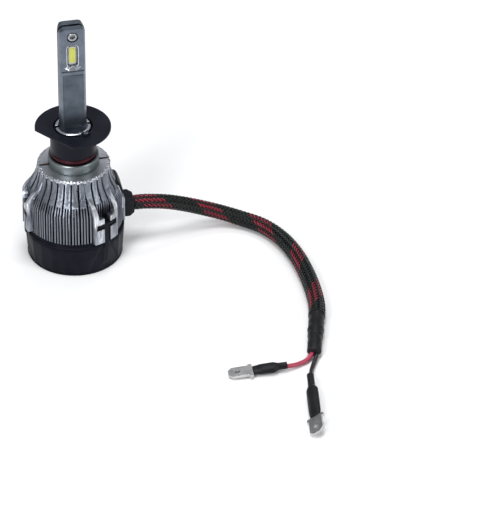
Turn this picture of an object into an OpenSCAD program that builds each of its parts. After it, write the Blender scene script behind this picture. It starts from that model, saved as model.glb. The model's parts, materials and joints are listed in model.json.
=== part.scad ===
// LED headlight bulb with an adjustable H1 cap, a finned heat sink and a fan.
// Z runs along the bulb. z = 0 is the fan's mouth, on which the bulb stands.

/* [Cap] */
// Height of the flange's seating face above the fan's mouth
seat_z = 47.5; // [46:0.5:52]
// Distance from the seating face to the middle of the light source
light_centre = 27.9; // [27:0.1:28.4]
// Diameter of the barrel that enters the lamp's sealing ring
barrel_d = 14.5; // [14:0.1:15]
// Diameter of the flange
flange_d = 24; // [23:0.5:25]
// Thickness of the flange
flange_t = 0.8; // [0.6:0.1:1.6]
// Distance from the axis to the flange's flat
flange_flat = 9; // [8.8:0.1:11.5]
// Direction of the flange's flat, in degrees from +X
flange_flat_angle = -141; // [-180:1:180]

/* [Stem] */
// Width of the stem across its rounded sides
stem_w = 8.7; // [8:0.1:9.2]
// Thickness of the stem across its flat faces
stem_t = 5.4; // [5:0.1:6]
// Height of the stem's flat tip above the light's middle
tip_rise = 10.2; // [9.5:0.1:14]
// Length of the light emitting patch
patch_l = 5.3; // [5:0.1:6.4]
// Width of the light emitting patch
patch_w = 1.9; // [1.6:0.1:2.4]
// Diameter of the tube that carries the cap
foot_d = 11.3; // [10.5:0.1:11.5]

/* [Heat sink] */
// Diameter over the fins
sink_d = 30.4; // [29:0.2:31]
// Diameter of the flat shoulder on top
shoulder_d = 23; // [22:0.5:24]
// Height of the shoulder
shoulder_z = 33.8; // [33:0.1:36]
// Groups of fins round the sink, in threes
fin_groups = 33; // [27:3:36]
// Width of the gaps that split a group into three fins
split_gap = 0.46; // [0.3:0.02:0.5]
// Diameter of the neck ring above the shoulder
neck_d = 16.2; // [16:0.1:17]

/* [Fan] */
// Outer diameter of the fan's housing
housing_d = 31.4; // [30.6:0.1:32]
// Height of the fan housing's outer wall
housing_h = 10.8; // [10.5:0.1:11.1]
// Inner diameter of the fan's mouth
mouth_d = 28; // [27.6:0.1:28.2]
// Diameter of the impeller's hub
hub_d = 16; // [15.6:0.1:16.4]
// Blades on the impeller
blades = 5; // [4:1:7]

/* [Cord] */
// Diameter of the braided sleeve
sleeve_d = 5; // [4.6:0.1:5.2]
// Diameter of each lead
lead_d = 1.4; // [1.2:0.1:1.6]
// Width of each male tab
tab_w = 4.8; // [4.6:0.1:5]
// Thickness of each male tab
tab_t = 0.8; // [0.5:0.1:0.9]

/* [Hidden] */
$fn = 96;
eps = 0.01;                       // overshoot that keeps a cut clean
run_gap = 0.05;                   // radial running clearance
seat_gap = 0.02;                  // radial play of a fixed seat

// Heights along the bulb
light_z = seat_z + light_centre;
tip_z = light_z + tip_rise;
collar_z = housing_h + 1.3;
sink_bottom = collar_z + 0.1;
neck_z = 37.2;
neck_r = neck_d / 2;
barrel_bottom = 38.8;
screw_z = light_z + 7.3;

// Core plate and what sits on it
plate_t = 1;
plate_half = plate_t / 2;
board_t = 0.6;
package_t = 0.5;
board_face = plate_half + board_t;
package_face = board_face + package_t;
board_low = light_z - 8;
board_high = light_z + 4.1;

// Stem
stem_r = stem_w / 2;
stem_half_t = stem_t / 2;
panel_depth = 0.35;
panel_low = light_z - 5.7;
panel_high = light_z + 5.2;
window_w = 3;
window_l = 7.5;
bevel_w = 0.45;
flare_z = light_z - 3.1;
cover_w = 6.4;
cover_seat = 0.4;
cover_proud = 0.12;
cover_low = seat_z + 0.5;
cover_high = panel_low - 1.2;
head_r = 1.5;
head_recess_r = 1.85;
foot_r = foot_d / 2;

// Locking screw of the cap
lock_angle = -62;
lock_r = 6.55;
foot_rise = 0.35;                 // the tube's rim above the flange

// Heat sink
sink_r = sink_d / 2;
shoulder_r = shoulder_d / 2;
core_r = 10.2;
cavity_r = 8.8;
cavity_top = 25;
pitch = 360 / fin_groups;
clip_angles = [60, 180, 300];
clip_r = 16.4;
pad_in = 1.2;
pad_out = 4.6;
pad_top = 16.9;
foot_low = 19;
foot_top = 20.9;
head_half = 3.7;
land_x = 15.4;
land_top = 21.2;
tongue_in = 13.2;
tongue_high = 26.6;
tongue_half = 3.5;
window_half = 3.2;
window_r = 14.1;
knee_z = 22.3;
fork_z = 25.1;
gap_in = 0.27;
gap_out = 0.31;
gap_top = shoulder_z - 1;
notch_l = 0.8;
notch_half = 0.42;
notch_slope = 30;

// Fan
housing_r = housing_d / 2;
mouth_r = mouth_d / 2;
hub_r = hub_d / 2;
hub_face = 0.9;
hub_top = 8.1;
frame_z = 9;
tube_r = 2.2;
bearing_r = 1.5;
shaft_r = 0.75;
core_low = 3.8;
core_h = 2.8;
arm_half = 0.6;
core_lip = 0.3;                   // the ring stands proud of the arms
shoe_lip = 0.15;

// Cord: where the grommet ends, and the routes, in points chosen by hand
grommet_x = 18.9;
tab_l = 7.6;
shoulder_half = 3;
cable_z = 15.2;
sleeve_route = [[18.9, 0, 15.2], [21.5, 0, 15.2], [24.5, 0.1, 14.8], [29.5, 0.9, 13.4],
                [35, 2.2, 10.9], [41, 3.3, 7.9], [47.5, 3.4, 5], [54, 1.3, 3.1],
                [60, -3.5, 2.5], [64.4, -10.9, 2.5], [67.1, -19.6, 2.5],
                [68.4, -28.7, 2.5], [68.9, -38, 2.5], [68.6, -46.3, 2.5],
                [67.9, -51, 2.5]];
boot_route = [[67.9, -51, 2.5], [66.9, -55, 2.5], [65.9, -59, 2.5], [64.9, -63, 2.4],
              [63.9, -67, 2.4], [62.9, -71, 2.3]];
red_route = [[66.2, -55.2, 2.5], [65.2, -59.2, 2.5], [64.2, -63.2, 2.3],
             [63.2, -67.2, 2.1], [62.1, -70.9, 1.7], [60.3, -72.8, 1.2],
             [57.4, -74.4, 1.2], [54.5, -75.4, 1.6], [51, -75.7, 1.9], [47, -75.5, 1.7]];
black_route = [[67.7, -55.6, 2.5], [66.7, -59.6, 2.5], [65.7, -63.6, 2.4],
               [64.7, -67.6, 2.1], [63.7, -71.2, 1.6], [62.3, -74.3, 1.1],
               [61, -77.2, 0.9], [60.1, -80.2, 1.4], [59.4, -83.5, 2.1],
               [58.9, -87.5, 2.3], [58.4, -91, 2.4]];
// Where each tab's shoulders start, its roll, pitch and heading, and its sleeve's length
red_terminal_at = [42.7, -75.2, 1.4];
red_terminal_turn = [0, 4, 178];
red_sleeve_l = 10.8;
red_neck_l = 3;
black_terminal_at = [56.8, -103, 2.4];
black_terminal_turn = [35, 2, -97];
black_sleeve_l = 20;
black_neck_l = 6;

// ---------------------------------------------------------------- helpers

// Part of a solid on one side of the split between the bulb's halves
module half(side) {
    intersection() {
        children();
        translate([-50, side > 0 ? plate_half : -50 - plate_half, -10])
            cube([100, 50, 200]);
    }
}

// Ring about Z
module ring(r_out, r_in, low, high) {
    translate([0, 0, low])
        difference() {
            cylinder(r = r_out, h = high - low);
            translate([0, 0, -eps])
                cylinder(r = r_in, h = high - low + 2 * eps);
        }
}

// Box from two opposite corners
module box(low, high) {
    translate(low)
        cube(high - low);
}

// Directions along a route, one at each point
function unit(v) = v / norm(v);
function along(route, i) =
    let (last = len(route) - 1)
    unit(route[min(i + 1, last)] - route[max(i - 1, 0)]);
function across(direction) = unit(cross([0, 0, 1], direction));

// Tube swept along a route: a ring of corners at each point
module swept_tube(route, radius, sides) {
    rings = len(route);
    points = [for (i = [0 : rings - 1], k = [0 : sides - 1])
        let (d = along(route, i), u = across(d), v = cross(d, u), a = 360 * k / sides)
        route[i] + radius * (cos(a) * u + sin(a) * v)];
    walls = [for (i = [0 : rings - 2], k = [0 : sides - 1])
        let (n = (k + 1) % sides)
        [i * sides + k, (i + 1) * sides + k, (i + 1) * sides + n, i * sides + n]];
    first = [[for (k = [0 : sides - 1]) k]];
    last = [[for (k = [sides - 1 : -1 : 0]) (rings - 1) * sides + k]];
    polyhedron(points, concat(walls, first, last), convexity = 4);
}

// ---------------------------------------------------------------- fan

// One T-shaped snap tab, pointing along +X
module snap_tab() {
    intersection() {
        union() {
            box([14.4, -1.05, housing_h - 2], [17, 1.05, pad_top + 0.5]);
            box([14.6, -head_half, pad_top + 0.3], [17, head_half, foot_low - 0.5]);
        }
        cylinder(r = clip_r - 0.3, h = foot_low);
    }
}

module fan_housing() {
    color("#26282f") {
        rotate_extrude()
            polygon([[mouth_r, 0.3], [mouth_r + 0.2, 0], [housing_r - 0.8, 0],
                     [housing_r - 0.5, 0.4], [housing_r - 0.05, 7], [housing_r, housing_h - 0.5],
                     [housing_r - 0.5, housing_h], [housing_r - 0.7, housing_h],
                     [housing_r - 0.7, collar_z], [mouth_r, collar_z]]);
        for (a = clip_angles)
            rotate([0, 0, a])
                snap_tab();
    }
}

module fan_frame() {
    color("#1d1f24") {
        ring(mouth_r, mouth_r - 1, frame_z - 0.5, collar_z);
        ring(hub_r, tube_r, frame_z, frame_z + 1.2);
        ring(tube_r, bearing_r, 3, frame_z + 1.2);
        translate([0, 0, frame_z + 1.2])
            cylinder(r = tube_r, h = 0.5);
        for (a = [0, 120, 240])
            rotate([0, 0, a])
                box([hub_r - 0.3, -0.9, frame_z], [mouth_r - 0.6, 0.9, frame_z + 1.2]);
    }
}

module fan_board() {
    color("#1f5a35")
        ring(hub_r - 0.6, tube_r, frame_z - 0.6, frame_z);
}

module stator_core() {
    color("#8b8f94")
        difference() {
            union() {
                translate([0, 0, core_low - core_lip])
                    cylinder(r = 3.1, h = core_h + 2 * core_lip);
                for (a = [45 : 90 : 315])
                    rotate([0, 0, a]) {
                        box([2.5, -arm_half, core_low], [5, arm_half, core_low + core_h]);
                        box([4.75, -1.9, core_low - shoe_lip],
                            [5.35, 1.9, core_low + core_h + shoe_lip]);
                    }
            }
            translate([0, 0, core_low - 1])
                cylinder(r = tube_r, h = core_h + 2);
        }
}

module stator_coils() {
    color("#b5622c")
        for (a = [45 : 90 : 315])
            rotate([0, 0, a])
                difference() {
                    box([3.3, -1.5, core_low - 0.5], [4.6, 1.5, core_low + core_h + 0.5]);
                    box([3, -arm_half - run_gap, core_low - run_gap],
                        [5, arm_half + run_gap, core_low + core_h + run_gap]);
                }
}

module shaft_bearing() {
    color("#b08d4c")
        ring(bearing_r, shaft_r + 0.03, 3.2, 8.2);
}

// One pitched blade, cut to the sweep of the fan
module blade() {
    intersection() {
        ring(mouth_r - 0.4, hub_r - 0.2, 1.2, 8);
        translate([0, 0, 4.6])
            rotate([38, 0, 0])
                box([hub_r - 1, -6.5, -0.45], [mouth_r, 6.5, 0.45]);
    }
}

module impeller() {
    color("#1b1d22") {
        difference() {
            ring(hub_r, shaft_r, hub_face, hub_top);
            translate([0, 0, 1.9])
                cylinder(r = hub_r - 0.9, h = hub_top);
        }
        for (i = [0 : blades - 1])
            rotate([0, 0, i * 360 / blades])
                blade();
    }
}

module rotor_yoke() {
    color("#9aa0a6") {
        ring(hub_r - 0.9, hub_r - 1.3, 1.9, 8);
        ring(hub_r - 1.1, shaft_r, 1.9, 2.3);
    }
}

module rotor_magnet() {
    color("#3a3a3c")
        ring(hub_r - 1.3, 5.9, 2.8, 7.6);
}

module rotor_shaft() {
    color("#c9ccd0")
        difference() {
            translate([0, 0, 1.2])
                cylinder(r = shaft_r, h = 8);
            ring(shaft_r + 1, 0.5, 8.4, 8.8);
        }
}

module shaft_clip() {
    color("#e4e2da")
        ring(1.2, 0.5, 8.42, 8.78);
}

// ---------------------------------------------------------------- heat sink

// Outline that the fins reach, turned about Z
module sink_envelope() {
    rotate_extrude()
        polygon([[0, sink_bottom], [sink_r, sink_bottom], [sink_r, knee_z], [sink_r - 1.1, fork_z - 0.2],
                 [sink_r - 2.1, 26.7], [sink_r - 2.9, 28.3], [shoulder_r + 0.3, 29.8],
                 [shoulder_r, 31.4], [shoulder_r, shoulder_z - 0.4],
                 [shoulder_r - 0.3, shoulder_z], [0, shoulder_z]]);
}

// Wedge-shaped gap between two groups of fins, with a sloped notch in the shoulder's edge
module group_gap() {
    translate([0, 0, sink_bottom - 1])
        linear_extrude(height = gap_top - sink_bottom + 1)
            polygon([[core_r, -gap_in], [sink_r + 1, -gap_out], [sink_r + 1, gap_out],
                     [core_r, gap_in]]);
    translate([shoulder_r - notch_l, 0, shoulder_z - 0.05])
        rotate([0, notch_slope, 0])
            box([0, -notch_half, 0], [3, notch_half, 2]);
}

// Cut that splits one group into three fins below its fork
module fin_split() {
    for (side = [-1, 1])
        rotate([0, 0, side * 1.7])
            box([12.4, -split_gap / 2, sink_bottom - 1], [sink_r + 1, split_gap / 2, fork_z + 0.2]);
}

// Groups of fins; behind each clip's window they are set back
module fins() {
    difference() {
        sink_envelope();
        for (i = [0 : fin_groups - 1])
            rotate([0, 0, (i + 0.5) * pitch])
                group_gap();
        for (i = [0 : fin_groups - 1])
            rotate([0, 0, i * pitch])
                fin_split();
        for (a = clip_angles)
            rotate([0, 0, a]) {
                box([window_r, -window_half, sink_bottom - 1], [clip_r + 1, window_half, 27.5]);
                box([window_r, -head_half - run_gap, pad_top], [clip_r + 1, head_half + run_gap, foot_low]);
            }
    }
}

// Two bent ribs, their feet and the pads below, round the +X direction
module clip_side(side) {
    mirror([0, side < 0 ? 1 : 0, 0])
        intersection() {
            union() {
                translate([0, pad_out, 0])
                    rotate([90, 0, 0])
                        linear_extrude(height = pad_out - window_half)
                            polygon([[10.3, 32.9], [10.8, 32.6], [11, 31.3], [11.35, 29.7],
                                     [11.9, 28.2], [13, 26.6], [14.3, 25.3], [15.3, 23.9],
                                     [16, 22.4], [17, foot_top + 0.4], [17, foot_low],
                                     [14, foot_low], [14, 21], [11.8, 26], [10.3, 30]]);
                box([14.2, pad_in, foot_low], [17, pad_out, foot_top]);
                box([14.2, pad_in, sink_bottom - 0.4], [17, pad_out, pad_top]);
                box([13.6, pad_out - 0.7, sink_bottom], [15.9, pad_out, foot_low + 0.1]);
            }
            translate([0, 0, sink_bottom - 1])
                cylinder(r = clip_r, h = 40);
        }
}

// Prism across the cord's side of the sink, from points in the XZ plane
module side_prism(half_width, points) {
    translate([0, half_width, 0])
        rotate([90, 0, 0])
            linear_extrude(height = 2 * half_width)
                polygon(points);
}

// Flat land behind the cable grommet
module grommet_land() {
    side_prism(4.6, [[9.5, sink_bottom], [land_x, sink_bottom], [land_x, land_top - 0.8],
                     [land_x - 0.5, land_top], [9.5, land_top]]);
}

module sink_body() {
    difference() {
        union() {
            fins();
            grommet_land();
            for (a = clip_angles, side = [-1, 1])
                rotate([0, 0, a])
                    clip_side(side);
        }
        translate([0, 0, sink_bottom - 1])
            cylinder(r = cavity_r, h = cavity_top - sink_bottom + 1);
        translate([0, 0, 20])
            cylinder(r = foot_r + seat_gap, h = 20);
        translate([5, 0, cable_z])
            rotate([0, 90, 0])
                cylinder(r = 2.3, h = 12);
        // the fins are cut back for the grommet's tongue
        side_prism(tongue_half + 0.1, [[tongue_in - 2.2, tongue_high + 0.2], [tongue_in, land_top],
                                       [18, land_top], [18, tongue_high + 0.2]]);
    }
}

module heat_sink_front() {
    color("#97a0aa")
        half(-1)
            sink_body();
}

module heat_sink_rear() {
    color("#97a0aa")
        half(1)
            sink_body();
}

module neck_ring() {
    color("#c3c8cc")
        rotate_extrude()
            polygon([[foot_r + seat_gap, shoulder_z], [neck_r - 0.2, shoulder_z],
                     [neck_r, shoulder_z + 0.3], [neck_r, neck_z - 0.4], [neck_r - 0.3, neck_z],
                     [neck_r - 0.9, neck_z], [neck_r - 1.1, neck_z - 0.3],
                     [foot_r + seat_gap, neck_z - 0.3]]);
}

// ---------------------------------------------------------------- electronics

module core_plate() {
    color("#b87345")
        difference() {
            union() {
                box([-11, -plate_half, 26], [11, plate_half, shoulder_z - 0.4]);
                box([-3.3, -plate_half, 30], [3.3, plate_half, tip_z - 2]);
                box([-5.5, -plate_half, 30], [5.5, plate_half, seat_z - 1]);
            }
            translate([0, plate_t, screw_z])
                rotate([90, 0, 0])
                    cylinder(r = 1.1, h = 2 * plate_t);
        }
}

module driver_board() {
    color("#1f5a35")
        translate([0, 0, 12.6])
            cylinder(r = 8.5, h = 1);
}

module driver_components() {
    color("#2b2b2e") {
        translate([0, 4, 13.6])
            cylinder(r = 3, h = 4.4);
        translate([-4.6, -2.4, 13.6])
            cylinder(r = 2.1, h = 5.6);
        translate([4.6, -3.4, 13.6])
            cylinder(r = 2.1, h = 5.6);
        box([-1.8, -6.4, 13.6], [1.8, -2.6, 15.1]);
        box([-7, 1, 13.6], [-4.6, 3.4, 14.8]);
    }
}

module driver_leads() {
    color("#7c2a30")
        for (y = [-0.9, 0.9])
            translate([6.6, y, cable_z]) {
                rotate([0, 90, 0])
                    cylinder(r = 0.6, h = 8);
                translate([0, 0, 13.6 - cable_z])
                    cylinder(r = 0.6, h = cable_z - 13.6);
            }
}

module led_wires() {
    color("#c8b36a")
        for (x = [-0.8, 0.8], y = [-1.2, 1.2])
            translate([x, y, 20])
                cylinder(r = 0.3, h = board_low - 20);
}

// ---------------------------------------------------------------- stem

// Solid outline of the stem and the tube that the cap turns on
module stem_outline() {
    intersection() {
        translate([0, 0, seat_z - 1])
            cylinder(r = stem_r, h = tip_z - seat_z + 2);
        translate([0, stem_half_t, 0])
            rotate([90, 0, 0])
                linear_extrude(height = stem_t)
                    polygon([[-stem_r - 1, seat_z - 1], [stem_r + 1, seat_z - 1],
                             [stem_r + 1, tip_z - 2.9], [stem_r - 0.02, tip_z - 1.9],
                             [stem_r - 0.4, tip_z - 1], [stem_r - 1, tip_z - 0.3],
                             [stem_r - 1.8, tip_z], [1.8 - stem_r, tip_z],
                             [1 - stem_r, tip_z - 0.3], [0.4 - stem_r, tip_z - 1],
                             [0.02 - stem_r, tip_z - 1.9], [-stem_r - 1, tip_z - 2.9]]);
    }
    rotate_extrude()
        polygon([[0, 28], [foot_r, 28], [foot_r, seat_z + foot_rise - 0.3],
                 [foot_r - 0.3, seat_z + foot_rise], [0, seat_z + foot_rise]]);
}

// Rounded rectangle on the stem's front face, as a prism between two depths
module face_slot(width, length, middle_z, corner, deep, shallow) {
    translate([0, -deep, middle_z])
        rotate([90, 0, 0])
            linear_extrude(height = shallow - deep) {
                for (x = [-1, 1], z = [-1, 1])
                    translate([x * (width / 2 - corner), z * (length / 2 - corner)])
                        circle(r = corner);
                square([width, length - 2 * corner], center = true);
                square([width - 2 * corner, length], center = true);
            }
}

// The front shell; the rear one is its mirror image
module stem_shell() {
    difference() {
        half(-1)
            stem_outline();
        // panel round the window
        box([-6, -5, panel_low], [6, panel_depth - stem_half_t, panel_high]);
        // window, opened out in a step that holds the reflector's slope
        face_slot(window_w, window_l, light_z, 1, 0, 5);
        face_slot(window_w + 2 * bevel_w, window_l + 2 * bevel_w, light_z, 1.3,
                  package_face + 0.35, 5);
        // three-sided flare below the window
        intersection() {
            translate([0, -package_face, flare_z])
                rotate([90, 22.5, 0])
                    cylinder(r1 = 0.9, r2 = 2.9, h = stem_half_t - panel_depth - package_face + eps,
                             $fn = 8);
            box([-3, -5, panel_low + 0.2], [3, 0, flare_z]);
        }
        // pocket for the LED board, and the channel for its wires
        box([-2.75, -board_face - 0.05, board_low - 0.2], [2.75, 0, board_high + 0.2]);
        box([-1.4, -1.7, 20], [1.4, 0, board_low]);
        // seat of the flat cover
        box([-cover_w / 2, -5, cover_low], [cover_w / 2, cover_seat - stem_half_t, cover_high]);
        // screw hole and the recess of its head
        translate([0, 0, screw_z])
            rotate([90, 0, 0]) {
                cylinder(r = 1.05, h = 5);
                translate([0, 0, stem_half_t - 0.8])
                    cylinder(r = head_recess_r, h = 3);
            }
        // the core plate is wider inside the tube
        box([-5.5, -plate_half, 28], [5.5, 0, seat_z - 1]);
    }
}

module stem_front_shell() {
    color("#66707c")
        stem_shell();
}

module stem_rear_shell() {
    color("#66707c")
        mirror([0, 1, 0])
            stem_shell();
}

// Flat cover over the wires, on the front face
module stem_cover() {
    box([-cover_w / 2 + 0.05, -stem_half_t - cover_proud, cover_low + 0.05],
        [cover_w / 2 - 0.05, cover_seat - stem_half_t, cover_high - 0.05]);
}

module stem_front_cover() {
    color("#56606c")
        stem_cover();
}

module stem_rear_cover() {
    color("#56606c")
        mirror([0, 1, 0])
            stem_cover();
}

// LED board, package and light emitting patch on the front face
module led_board() {
    box([-2.6, -board_face, board_low], [2.6, -plate_half, board_high]);
}

module led_package() {
    box([-1.2, -package_face, light_z - 3.15], [1.2, -board_face, light_z + 3.15]);
}

module led_phosphor() {
    box([-patch_w / 2, -package_face - 0.15, light_z - patch_l / 2],
        [patch_w / 2, -package_face, light_z + patch_l / 2]);
}

module led_board_front() {
    color("#e9e9e4")
        led_board();
}

module led_board_rear() {
    color("#e9e9e4")
        mirror([0, 1, 0])
            led_board();
}

module led_package_front() {
    color("#f2f1ea")
        led_package();
}

module led_package_rear() {
    color("#f2f1ea")
        mirror([0, 1, 0])
            led_package();
}

module led_phosphor_front() {
    color("#d8dc5a")
        led_phosphor();
}

module led_phosphor_rear() {
    color("#d8dc5a")
        mirror([0, 1, 0])
            led_phosphor();
}

// A socket-head screw in each face of the stem
module stem_screws() {
    color("#aeb4ba")
        for (side = [0, 1])
            mirror([0, side, 0])
                translate([0, 0, screw_z])
                    rotate([90, 0, 0])
                        difference() {
                            union() {
                                translate([0, 0, 0.05])
                                    cylinder(r = 1, h = stem_half_t - 0.8);
                                translate([0, 0, stem_half_t - 0.8])
                                    cylinder(r = head_r, h = 0.75);
                            }
                            translate([0, 0, stem_half_t - 0.5])
                                cylinder(r = 0.75, h = 1, $fn = 6);
                        }
}

// ---------------------------------------------------------------- cap

module o_ring() {
    color("#7a1f24")
        translate([0, 0, barrel_bottom - 0.85])
            rotate_extrude()
                translate([foot_r + 0.8, 0])
                    circle(r = 0.79, $fn = 32);
}

module flange_collar() {
    color("#24262e")
        difference() {
            union() {
                rotate_extrude()
                    polygon([[0, barrel_bottom], [barrel_d / 2 - 0.3, barrel_bottom],
                             [barrel_d / 2, barrel_bottom + 0.3],
                             [barrel_d / 2, seat_z - flange_t],
                             [flange_d / 2, seat_z - flange_t], [flange_d / 2, seat_z - 0.15],
                             [flange_d / 2 - 0.15, seat_z], [0, seat_z]]);
                // boss of the locking screw
                rotate([0, 0, lock_angle])
                    box([foot_r + 0.1, -1.2, seat_z - 0.1], [7.6, 1.2, seat_z + 0.9]);
            }
            // running bore on the tube, wider near the face
            translate([0, 0, barrel_bottom - 1])
                cylinder(r = foot_r + run_gap, h = 8);
            translate([0, 0, barrel_bottom + 7])
                cylinder(r = foot_r + 0.6, h = seat_z - barrel_bottom - 7 + eps);
            translate([0, 0, seat_z - 5])
                cylinder(r = 4.95, h = 10);
            // straight side of the flange, outside the barrel
            rotate([0, 0, flange_flat_angle])
                box([flange_flat, -20, seat_z - 5], [20, 20, seat_z + 5]);
            rotate([0, 0, lock_angle])
                translate([lock_r, 0, seat_z - 3])
                    cylinder(r = 0.75, h = 6);
        }
}

module set_screw() {
    color("#3a3d42")
        rotate([0, 0, lock_angle])
            translate([lock_r, 0, seat_z - 0.1])
                difference() {
                    cylinder(r = 0.75, h = 1);
                    translate([0, 0, 0.5])
                        cylinder(r = 0.4, h = 1, $fn = 6);
                }
}

// ---------------------------------------------------------------- cord

module cable_grommet() {
    color("#202228") {
        hull() {
            box([land_x, -3.3, cable_z - 2.9], [17.2, 3.3, cable_z + 3.3]);
            box([land_x, -2.4, cable_z - 2.2], [grommet_x, 2.4, cable_z + 2.6]);
        }
        translate([14.7, 0, cable_z])
            rotate([0, 90, 0])
                cylinder(r = 2.25, h = 1);
        // tongue over the slot above the land
        side_prism(tongue_half, [[tongue_in + 0.1, land_top + 0.02], [15, land_top + 0.02],
                                 [15.25, 22.4], [14.4, 25], [13.8, tongue_high - 0.4],
                                 [13.2, tongue_high], [tongue_in - 1.9, tongue_high]]);
    }
}

module braided_sleeve() {
    color("#3a1a24")
        swept_tube(sleeve_route, sleeve_d / 2, 12);
}

module sleeve_boot() {
    color("#17181b")
        swept_tube(boot_route, sleeve_d / 2 - 0.2, 12);
}

module red_lead() {
    color("#c23c58")
        swept_tube(red_route, lead_d / 2, 8);
}

module black_lead() {
    color("#1a1a1c")
        swept_tube(black_route, lead_d / 2, 8);
}

// Male tab with shoulders, pointing along +X, with its crimp behind the shoulders
module terminal() {
    difference() {
        union() {
            box([-7, -1.3, -tab_t / 2], [0.2, 1.3, tab_t / 2]);
            box([0, -shoulder_half, -tab_t / 2], [1.2, shoulder_half, tab_t / 2]);
            linear_extrude(height = tab_t, center = true)
                polygon([[1, -tab_w / 2], [tab_l - 1.2, -tab_w / 2], [tab_l, -tab_w / 2 + 1.2],
                         [tab_l, tab_w / 2 - 1.2], [tab_l - 1.2, tab_w / 2], [1, tab_w / 2]]);
        }
        translate([tab_l - 2.8, 0, -1])
            cylinder(r = 0.7, h = 2);
    }
}

// Shrunk sleeve over the crimp: narrow on the lead, wide on the crimp
module terminal_sleeve(length, neck_l) {
    translate([-length, 0, 0])
        rotate([0, 90, 0])
            cylinder(r = 1.1, h = neck_l + 1);
    hull() {
        box([neck_l - length, -1.6, -1.2], [0, 1.6, 1.2]);
        box([neck_l - length + 1, -2, -0.8], [-1, 2, 0.8]);
    }
}

// Places a piece of a terminal where it lies
module lie(at, turn) {
    translate(at)
        rotate([0, 0, turn[2]])
            rotate([0, turn[1], 0])
                rotate([turn[0], 0, 0])
                    children();
}

module red_terminal_sleeve() {
    color("#17181b")
        lie(red_terminal_at, red_terminal_turn)
            terminal_sleeve(red_sleeve_l, red_neck_l);
}

module black_terminal_sleeve() {
    color("#17181b")
        lie(black_terminal_at, black_terminal_turn)
            terminal_sleeve(black_sleeve_l, black_neck_l);
}

module red_terminal() {
    color("#b9bcc0")
        lie(red_terminal_at, red_terminal_turn)
            terminal();
}

module black_terminal() {
    color("#b9bcc0")
        lie(black_terminal_at, black_terminal_turn)
            terminal();
}

fan_housing();
fan_frame();
fan_board();
stator_core();
stator_coils();
shaft_bearing();
impeller();
rotor_yoke();
rotor_magnet();
rotor_shaft();
shaft_clip();
heat_sink_front();
heat_sink_rear();
neck_ring();
core_plate();
driver_board();
driver_components();
driver_leads();
led_wires();
stem_front_shell();
stem_rear_shell();
stem_front_cover();
stem_rear_cover();
led_board_front();
led_board_rear();
led_package_front();
led_package_rear();
led_phosphor_front();
led_phosphor_rear();
stem_screws();
o_ring();
flange_collar();
set_screw();
cable_grommet();
braided_sleeve();
sleeve_boot();
red_lead();
black_lead();
red_terminal_sleeve();
black_terminal_sleeve();
red_terminal();
black_terminal();
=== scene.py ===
"""Looks of an LED headlight bulb: camera, cord, detailed meshes and materials."""

import json
import random
from math import asin, ceil, cos, degrees, exp, pi, radians, sin, sqrt

import bpy
from mathutils import Matrix, Vector

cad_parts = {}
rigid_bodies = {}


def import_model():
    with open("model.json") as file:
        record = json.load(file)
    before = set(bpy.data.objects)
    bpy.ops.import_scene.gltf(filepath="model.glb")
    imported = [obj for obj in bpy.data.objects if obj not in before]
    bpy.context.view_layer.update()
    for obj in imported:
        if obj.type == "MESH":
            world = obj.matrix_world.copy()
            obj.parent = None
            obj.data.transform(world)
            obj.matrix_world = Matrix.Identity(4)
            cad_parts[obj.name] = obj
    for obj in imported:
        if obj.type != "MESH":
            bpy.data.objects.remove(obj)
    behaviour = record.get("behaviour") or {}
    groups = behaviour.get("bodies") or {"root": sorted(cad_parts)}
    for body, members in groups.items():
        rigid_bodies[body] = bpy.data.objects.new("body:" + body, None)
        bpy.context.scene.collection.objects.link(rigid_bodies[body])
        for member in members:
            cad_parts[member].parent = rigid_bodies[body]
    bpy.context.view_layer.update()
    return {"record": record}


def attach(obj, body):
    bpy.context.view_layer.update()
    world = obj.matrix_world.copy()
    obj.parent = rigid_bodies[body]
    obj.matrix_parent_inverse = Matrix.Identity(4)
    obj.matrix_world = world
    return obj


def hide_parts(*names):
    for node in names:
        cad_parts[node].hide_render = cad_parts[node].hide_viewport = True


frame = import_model()

MM = 0.001


# ---------------------------------------------------------------- camera, floor and light
# Places and sizes here are in metres; the meshes further down are in millimetres.

VIEW_AZIMUTH = radians(-11)
VIEW_ELEVATION = radians(36.5)
CAMERA_DISTANCE = 2.0
CAMERA_LENS = 443
SENSOR = 36
FAR_CLIP = 20
AIM = Vector((53.05, -11.9, -2.1)) * MM

FLOOR_HALF = 3
BULB_MIDDLE = Vector((0, 0, 0.04))
LIGHT_DISTANCE = 0.8
SKY_COLOUR = (0.93, 0.95, 1, 1)
SKY_STRENGTH = 0.36
# Name, azimuth and elevation in degrees, width and height, power
LIGHTS = [("key", -40, 40, (0.22, 0.4), 3.0), ("fill", 50, 22, (0.14, 0.5), 1.6),
          ("top", -8, 82, (0.28, 0.28), 3.2), ("back", 150, 62, (0.4, 0.2), 1.2)]


def look_from(azimuth, elevation):
    """Unit vector towards a viewer; azimuth 0 looks along +Y."""
    return Vector((sin(azimuth) * cos(elevation), -cos(azimuth) * cos(elevation), sin(elevation)))


def aimed(location, target):
    """Rotation that points an object's -Z at the target."""
    return (target - location).to_track_quat("-Z", "Y").to_euler()


def make_camera():
    data = bpy.data.cameras.new("camera")
    data.sensor_fit = "VERTICAL"
    data.sensor_height = SENSOR
    data.lens = CAMERA_LENS
    data.clip_end = FAR_CLIP
    camera = bpy.data.objects.new("camera", data)
    camera.location = AIM + CAMERA_DISTANCE * look_from(VIEW_AZIMUTH, VIEW_ELEVATION)
    camera.rotation_euler = aimed(camera.location, AIM)
    bpy.context.scene.collection.objects.link(camera)
    bpy.context.scene.camera = camera


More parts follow.
